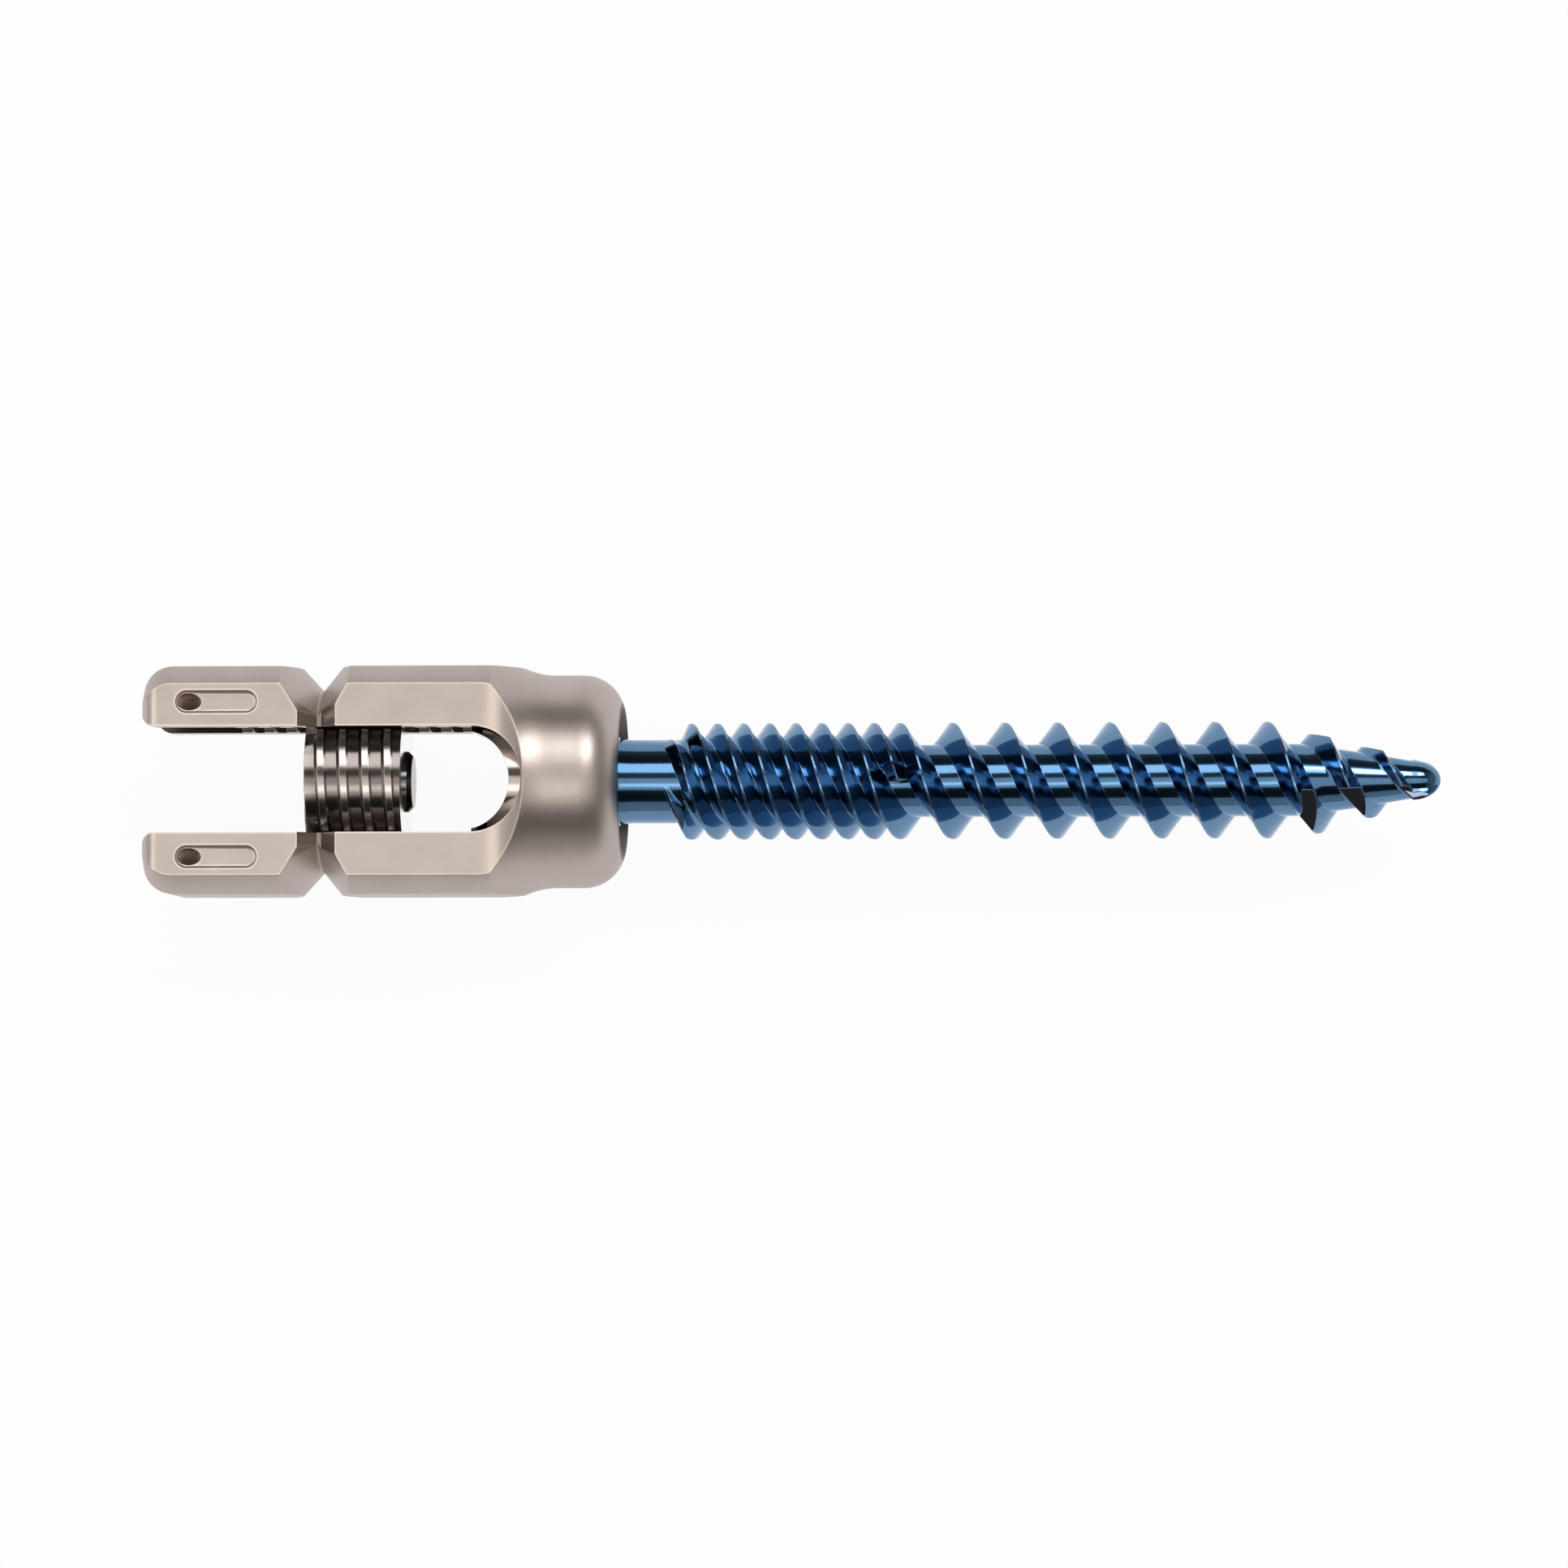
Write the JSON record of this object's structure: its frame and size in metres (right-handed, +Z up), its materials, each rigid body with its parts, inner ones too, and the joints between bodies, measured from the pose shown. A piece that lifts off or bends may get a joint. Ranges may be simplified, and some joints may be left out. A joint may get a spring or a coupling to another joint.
{
  "type": "pedicle screw",
  "caption": "Long-arm polyaxial bone screw: U-slotted swivelling head with break-off tabs, a pressure saddle, a locking screw and a dual-thread shank.",
  "frame": {"origin": "centre of the bounding box in plan, at the height of the lowest point, with the screw lying on its side", "axes": "+X along the screw's axis towards the tip, +Y across the arms of the head, +Z up, along the rod that the slot takes"},
  "size_m": [0.0722, 0.0126, 0.0124],
  "materials": {
    "tulip": "bead-blasted titanium with finer milled pads",
    "saddle": "polished titanium",
    "ring": "turned titanium",
    "set_screw": "dark turned titanium",
    "bone_screw": "glossy blue anodised titanium"
  },
  "bodies": {
    "shank": {"bone_screw": "bone_screw"},
    "ring": {"split_ring": "ring"},
    "head": {"tulip_head": "tulip", "pressure_saddle": "saddle"},
    "plug": {"set_screw": "set_screw"}
  },
  "joints": [
    {"name": "head_tilt", "type": "hinge", "parent": "shank", "child": "ring", "pos_m": [-0.01247, 0, 0.00621], "axis": [0, 1, 0], "range_deg": [-25, 25]},
    {"name": "head_turn", "type": "hinge", "parent": "ring", "child": "head", "pos_m": [-0.01247, 0, 0.00621], "axis": [1, 0, 0], "continuous": true},
    {"name": "set_screw_travel", "type": "slide", "parent": "head", "child": "plug", "axis": [-1, 0, 0], "range_m": [-0.0025, 0.00875]}
  ]
}
